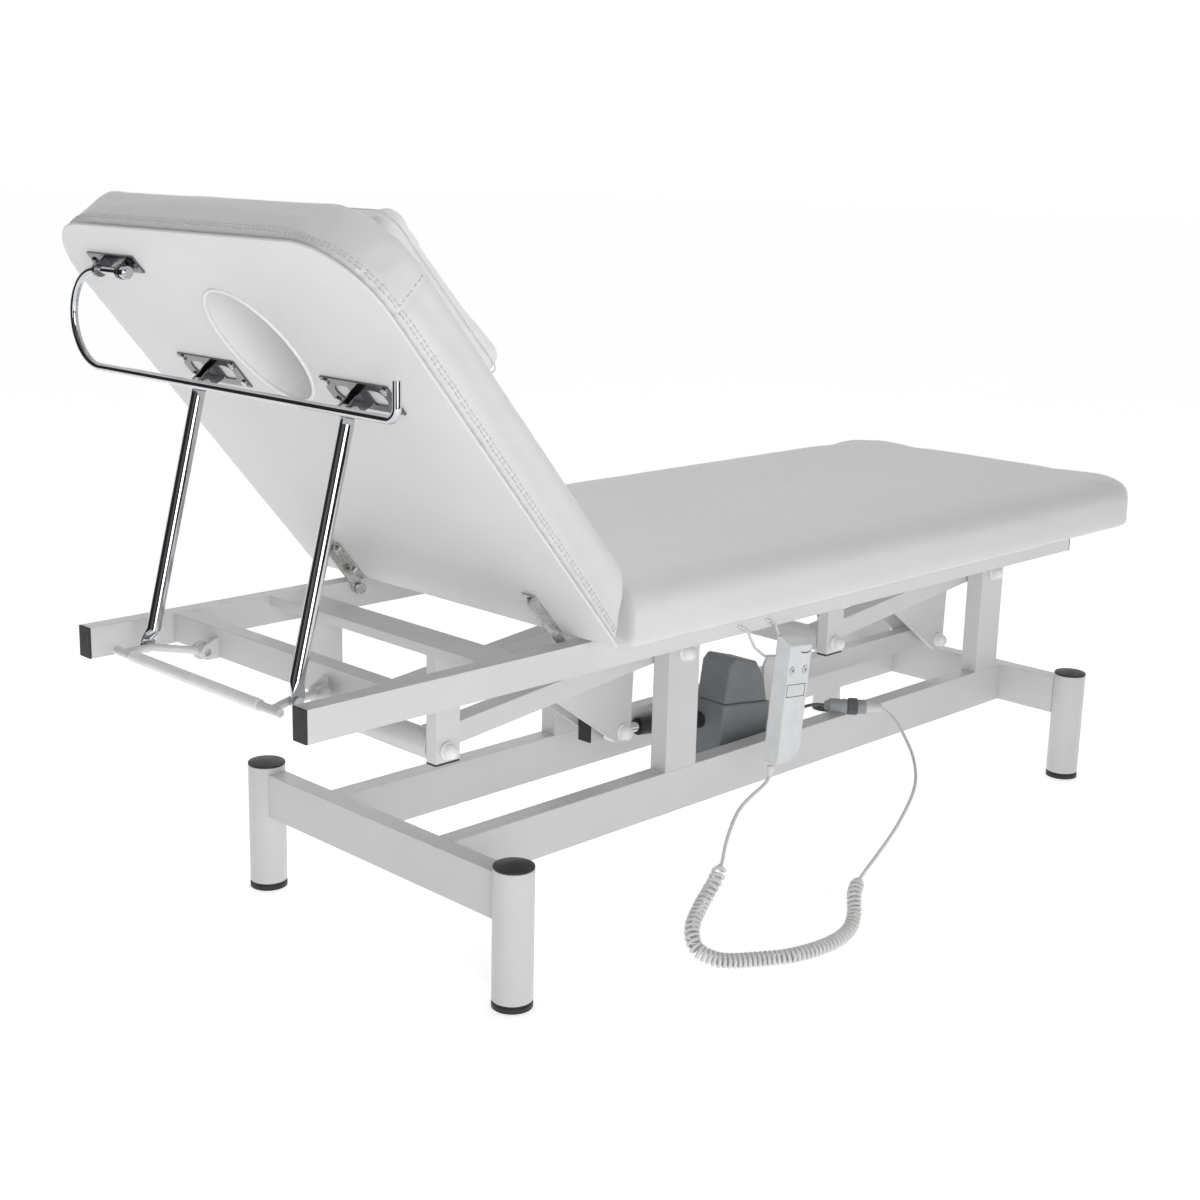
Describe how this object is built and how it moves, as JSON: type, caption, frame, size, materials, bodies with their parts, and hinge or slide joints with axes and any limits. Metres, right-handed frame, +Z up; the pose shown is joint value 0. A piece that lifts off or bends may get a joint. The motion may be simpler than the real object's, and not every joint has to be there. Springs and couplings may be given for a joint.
{
  "type": "facial treatment bed",
  "caption": "Electric facial treatment bed: lifting base, padded seat, tilting backrest with face hole and struts, roll bar and corded handset.",
  "frame": {"origin": "On the floor, under the middle of the footprint's box without the free cord.", "axes": "X runs along the bed from the head end (-X) to the foot end (+X), Y across it with the hand control on the -Y side, Z up."},
  "size_m": [1.771, 0.773, 1.0117],
  "materials": {
    "white_steel": "white powder coat, satin",
    "white_cap": "white moulded plastic",
    "black_plastic": "black moulded plastic",
    "chrome": "polished chrome plate",
    "dark_steel": "dark plated steel",
    "zinc": "bright zinc plate",
    "leatherette": "white coated upholstery, fine grain",
    "board": "plywood",
    "motor_grey": "grey moulded housing",
    "handset_white": "off-white moulded plastic",
    "key_grey": "light grey keys",
    "cord_white": "white cord jacket",
    "connector_grey": "grey moulded connector",
    "cord_dark": "black cord jacket"
  },
  "bodies": {
    "base": {"base_long_rails": "white_steel", "base_cross_rails": "white_steel", "foot_columns": "white_steel", "foot_top_caps": "black_plastic", "floor_feet": "black_plastic", "base_posts": "white_steel", "base_pivot_bolts": "white_cap", "actuator_crossbar": "white_steel", "rear_bracket": "white_steel", "rear_bracket_bolt": "zinc", "cable_gland": "black_plastic", "cord_coil": "cord_white", "cord_base_lead": "cord_white", "cord_connector": "connector_grey", "motor_lead": "cord_dark"},
    "head_lift": {"head_lift_arms": "white_steel", "head_lift_tubes": "white_steel", "head_lever_plates": "white_steel", "head_lever_bolt": "white_cap"},
    "foot_lift": {"foot_lift_arms": "white_steel", "foot_lift_tubes": "white_steel", "foot_lever_plates": "white_steel", "foot_lever_bolt": "white_cap"},
    "link": {"link_tube": "white_steel", "link_tube_caps": "black_plastic"},
    "actuator_body": {"actuator_gearbox": "motor_grey", "actuator_motor": "motor_grey", "actuator_cylinder": "black_plastic"},
    "actuator_piston": {"actuator_rod": "chrome"},
    "bed_frame": {"bed_side_rails": "white_steel", "bed_rail_caps": "black_plastic", "bed_cross_members": "white_steel", "hanging_posts": "white_steel", "hanging_post_caps": "black_plastic", "bed_pivot_bolts": "white_cap", "lever_ears": "white_steel", "backrest_hinge_bolts": "zinc", "seat_board": "board", "seat_cushion": "leatherette", "handset_hook": "chrome", "handset_body": "handset_white", "handset_strain_relief": "handset_white", "cord_lead": "cord_white"},
    "backrest": {"back_board": "board", "back_cushion": "leatherette", "hinge_straps": "zinc", "strap_bolts": "zinc", "strut_brackets": "dark_steel", "strut_bracket_screws": "zinc", "strut_pins": "zinc", "roll_bracket": "dark_steel"},
    "neck_pillow": {"pillow": "leatherette"},
    "strut_pair": {"struts": "chrome"},
    "prop_lever": {"prop_lever_arms": "white_steel", "prop_lever_rod": "white_steel", "prop_lever_grip": "white_cap"},
    "paper_roll_bar": {"roll_bar": "chrome"},
    "key_up": {"handset_key_up": "key_grey"},
    "key_down": {"handset_key_down": "key_grey"}
  },
  "joints": [
    {"name": "lift", "type": "hinge", "parent": "base", "child": "head_lift", "pos_m": [-0.127, 0.028, 0.357], "axis": [0, 1, 0], "range_deg": [0, 27]},
    {"name": "foot_lift_pivot", "type": "hinge", "parent": "base", "child": "foot_lift", "pos_m": [0.687, 0.028, 0.357], "axis": [0, 1, 0], "range_deg": [0, 27.1]},
    {"name": "bed_pivot", "type": "hinge", "parent": "head_lift", "child": "bed_frame", "pos_m": [-0.582, 0.028, 0.308], "axis": [0, 1, 0], "range_deg": [-27.1, 0]},
    {"name": "link_pivot", "type": "hinge", "parent": "head_lift", "child": "link", "pos_m": [-0.174, 0.028, 0.227], "axis": [0, 1, 0], "range_deg": [-27.1, 0]},
    {"name": "actuator_pivot", "type": "hinge", "parent": "base", "child": "actuator_body", "pos_m": [0.165, -0.012, 0.183], "axis": [0, 1, 0], "range_deg": [0, 3.8]},
    {"name": "actuator_stroke", "type": "slide", "parent": "actuator_body", "child": "actuator_piston", "axis": [-0.9917, 0, 0.1287], "range_m": [0, 0.0612]},
    {"name": "backrest_tilt", "type": "hinge", "parent": "bed_frame", "child": "backrest", "pos_m": [-0.455, 0.028, 0.44], "axis": [0, 1, 0], "range_deg": [-49.8, 0]},
    {"name": "strut_pivot", "type": "hinge", "parent": "backrest", "child": "strut_pair", "pos_m": [-0.74973, 0.028, 0.76242], "axis": [0, 1, 0], "range_deg": [-10, 0]},
    {"name": "prop_lever_pivot", "type": "hinge", "parent": "strut_pair", "child": "prop_lever", "pos_m": [-0.835, 0.028, 0.431], "axis": [0, 1, 0], "range_deg": [-40, 0]},
    {"name": "roll_bar_swing", "type": "hinge", "parent": "backrest", "child": "paper_roll_bar", "pos_m": [-0.85487, 0.028, 0.90466], "axis": [0, 1, 0], "range_deg": [-38, 90]},
    {"name": "pillow_lift_off", "type": "slide", "parent": "backrest", "child": "neck_pillow", "axis": [0.7638, 0, 0.6455], "range_m": [0, 0.12]},
    {"name": "up_key_press", "type": "slide", "parent": "bed_frame", "child": "key_up", "axis": [0, 1, 0], "range_m": [0, 0.001], "stiffness_N_per_m": 600, "springref_m": -0.0005},
    {"name": "down_key_press", "type": "slide", "parent": "bed_frame", "child": "key_down", "axis": [0, 1, 0], "range_m": [0, 0.001], "stiffness_N_per_m": 600, "springref_m": -0.0005}
  ],
  "couplings": [
    {"joint": "foot_lift_pivot", "follows": "lift", "ratio": 1},
    {"joint": "bed_pivot", "follows": "lift", "ratio": -1},
    {"joint": "link_pivot", "follows": "lift", "ratio": -1},
    {"joint": "actuator_pivot", "follows": "lift", "ratio": 0.13688},
    {"joint": "actuator_stroke", "follows": "lift", "m_per_rad": 0.12796},
    {"joint": "strut_pivot", "follows": "backrest_tilt", "ratio": 0.2},
    {"joint": "prop_lever_pivot", "follows": "backrest_tilt", "ratio": 0.8}
  ]
}
